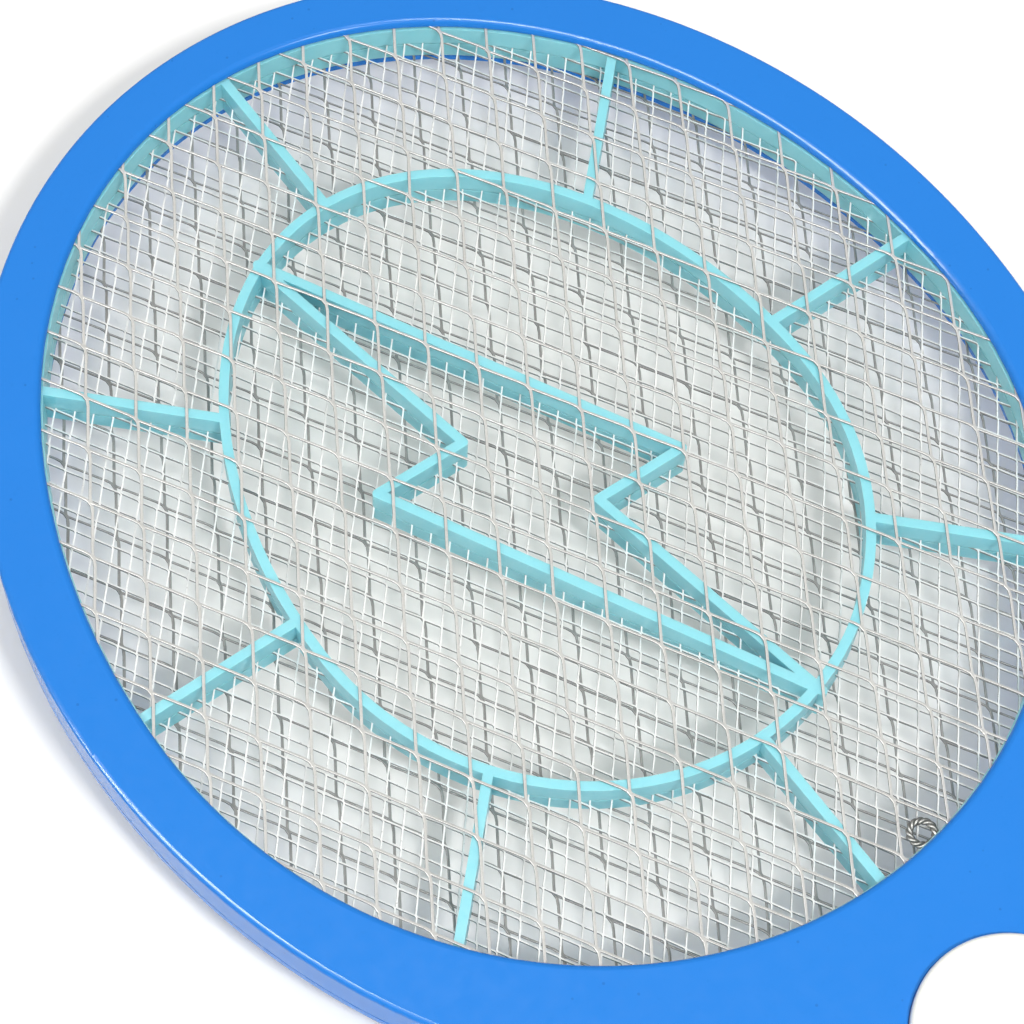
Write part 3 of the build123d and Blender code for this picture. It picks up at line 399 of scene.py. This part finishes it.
def expanded_metal(name, node, lattice, shape):
    """A slit and stretched sheet: zigzag strands side by side, bonded where their corners meet."""
    outline = Outline(node)
    origin, u, v = lattice
    origin = origin + Vector((0, HEAD_Y))
    low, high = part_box(node)
    level = (low.z + high.z) / 2
    section = strand_section(shape)
    sides = len(section)
    strands = math.ceil(2 * (outline.half_width + abs(origin.x)) / (u - v).length) + 2
    count = math.ceil((high - low).y / abs(u.y)) + 2
    points, faces = [], []
    for k in range(-strands, strands + 1):
        for run in clipped(strand_line(origin, u, v, k, count, shape), outline, SHEET_INSET):
            first = len(points)
            for p in run:
                p = p + noise.noise_vector(Vector((p.x, p.y, k)) * WANDER) * shape["unevenness"]
                points += [(p.x + x, p.y, level + p.z + z) for x, z in section]
            rings = len(run)
            for ring in range(rings - 1):
                for side in range(sides):
                    a = first + ring * sides + side
                    b = first + ring * sides + (side + 1) % sides
                    faces.append((a, a + sides, b + sides, b))
            faces.append([first + side for side in range(sides)])
            faces.append([first + (rings - 1) * sides + side for side in reversed(range(sides))])
    mesh = bpy.data.meshes.new(name)
    mesh.from_pydata(points, [], faces)
    piece = bpy.data.objects.new(name, mesh)
    bpy.context.scene.collection.objects.link(piece)
    piece.data.materials.append(FINISHES[slots[node]].material)
    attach(piece, "racket")
    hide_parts(node)


# Ring terminal: a loop of bare stranded wire, twisted, with its tail crimped in the barrel.

WIRE_COUNT = 3
WIRE_RADIUS = 0.33 * MM
BUNDLE_RADIUS = 0.36 * MM
TWIST_PITCH = 3.3 * MM
LOOP_STEPS = 96
TAIL_STEPS = 40


def bundle_route():
    """Points of the bundle's centre line with their outward directions.

    They go round the loop, then down the tail."""
    low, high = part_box("lead_terminal")
    eye = (high.x - low.x) / 2
    radius = eye - WIRE_RADIUS - BUNDLE_RADIUS
    centre = Vector(((low.x + high.x) / 2, high.y - eye, low.z + WIRE_RADIUS + BUNDLE_RADIUS))
    route = []
    for step in range(LOOP_STEPS + 1):
        turn = math.tau * step / LOOP_STEPS - math.pi / 2
        outward = Vector((math.cos(turn), math.sin(turn), 0))
        route.append((centre + outward * radius, outward))
    start, outward = route[-1]
    tail = start.y - low.y - WIRE_RADIUS
    for step in range(1, TAIL_STEPS + 1):
        route.append((start - Vector((0, tail * step / TAIL_STEPS, 0)), Vector((1, 0, 0))))
    return route


def wire_loop():
    """The bundle's wires, wound round its centre line."""
    curve = bpy.data.curves.new("lead_loop", "CURVE")
    curve.dimensions = "3D"
    curve.bevel_depth = WIRE_RADIUS
    curve.bevel_resolution = 2
    route = bundle_route()
    for wire in range(WIRE_COUNT):
        spline = curve.splines.new("POLY")
        spline.points.add(len(route) - 1)
        run = 0.0
        for n, (point, outward) in enumerate(route):
            run += (point - route[n - 1][0]).length if n else 0.0
            turn = math.tau * (run / TWIST_PITCH + wire / WIRE_COUNT)
            side = outward * math.cos(turn) + Vector((0, 0, math.sin(turn)))
            spline.points[n].co = (*(point + side * BUNDLE_RADIUS), 1.0)
    piece = bpy.data.objects.new("lead_loop", curve)
    bpy.context.scene.collection.objects.link(piece)
    curve.materials.append(FINISHES[slots["lead_terminal"]].material)
    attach(piece, "racket")
    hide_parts("lead_terminal")


# Stage: floor, light and camera.

def floor():
    corners = [(x * FLOOR_HALF, y * FLOOR_HALF, 0) for x, y in ((-1, -1), (1, -1), (1, 1), (-1, 1))]
    mesh = bpy.data.meshes.new("floor")
    mesh.from_pydata(corners, [], [(0, 1, 2, 3)])
    plane = bpy.data.objects.new("floor", mesh)
    bpy.context.scene.collection.objects.link(plane)
    f = Finish("floor", (0.90, 0.893, 0.872), 0.9, Specular_IOR_Level=0.0)
    f.tint(f.spread(f.grain(3, 2), 0.3, 0.7, 0.0, 0.5), (0.885, 0.878, 0.860))
    mesh.materials.append(f.material)


def soft_light(name, place, size, power, only_reflected=False):
    """A rectangular lamp aimed at the head; one that is only reflected lights no matt surface."""
    lamp = bpy.data.lights.new(name, "AREA")
    lamp.shape = "RECTANGLE"
    lamp.size, lamp.size_y = size
    lamp.energy = power
    made = bpy.data.objects.new(name, lamp)
    bpy.context.scene.collection.objects.link(made)
    made.visible_diffuse = not only_reflected
    made.location = place
    aim = Vector((0, HEAD_Y, 0)) - Vector(place)
    made.rotation_euler = aim.to_track_quat("-Z", "Y").to_euler()


def surroundings(overhead, horizon):
    """A pale studio, brightest overhead."""
    world = bpy.data.worlds.new("studio")
    world.use_nodes = True
    tree = world.node_tree
    background = tree.nodes["Background"]
    background.inputs["Color"].default_value = (1.0, 0.995, 0.965, 1.0)
    split = tree.nodes.new("ShaderNodeSeparateXYZ")
    tree.links.new(tree.nodes.new("ShaderNodeTexCoord").outputs["Generated"], split.inputs[0])
    strength = tree.nodes.new("ShaderNodeMapRange")
    tree.links.new(split.outputs["Z"], strength.inputs["Value"])
    strength.inputs["To Min"].default_value = horizon
    strength.inputs["To Max"].default_value = overhead
    tree.links.new(strength.outputs["Result"], background.inputs["Strength"])
    bpy.context.scene.world = world


def camera():
    """A long lens that looks down on the head; its frame cuts the head's edges."""
    back = Vector((
        math.sin(AZIMUTH) * math.cos(ELEVATION),
        -math.cos(AZIMUTH) * math.cos(ELEVATION),
        math.sin(ELEVATION),
    ))
    right = Vector((math.cos(AZIMUTH), math.sin(AZIMUTH), 0))
    up = back.cross(right)
    rolled_right = right * math.cos(ROLL) + up * math.sin(ROLL)
    rolled_up = up * math.cos(ROLL) - right * math.sin(ROLL)
    turn = Matrix((rolled_right, rolled_up, back)).transposed()
    target = Vector((0, HEAD_Y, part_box("front_shell")[1].z))
    place = target + turn @ Vector((-AIM_OFFSET[0], -AIM_OFFSET[1], DISTANCE))
    lens = bpy.data.cameras.new("camera")
    lens.lens = LENS
    lens.sensor_width = SENSOR
    lens.clip_start = CLIP_START
    made = bpy.data.objects.new("camera", lens)
    bpy.context.scene.collection.objects.link(made)
    made.matrix_world = Matrix.Translation(place) @ turn.to_4x4()
    bpy.context.scene.camera = made


for name, node in nodes.items():
    dress(name, node)

# Blender takes the seed of its noise from the clock unless it is given one.
noise.seed_set(WANDER_SEED)
expanded_metal("front_electrode", "front_mesh", (FRONT_ORIGIN, COARSE_U, COARSE_V), COARSE)
expanded_metal("rear_electrode", "rear_mesh", (REAR_ORIGIN, COARSE_U, COARSE_V), REAR)
expanded_metal("middle_electrode", "inner_mesh", (FINE_ORIGIN, FINE_U, FINE_V), FINE)
wire_loop()

floor()
surroundings(overhead=0.85, horizon=0.30)
soft_light("key", (-0.05, HEAD_Y - 0.80, 1.20), size=(0.17, 0.17), power=11.0)
soft_light("fill", (-0.55, HEAD_Y - 0.10, 1.20), size=(0.90, 0.90), power=5.5)
soft_light("window", (-0.73, HEAD_Y + 0.27, 1.00), size=(0.18, 2.20), power=65.0, only_reflected=True)
camera()
bpy.context.scene.view_settings.view_transform = "Standard"
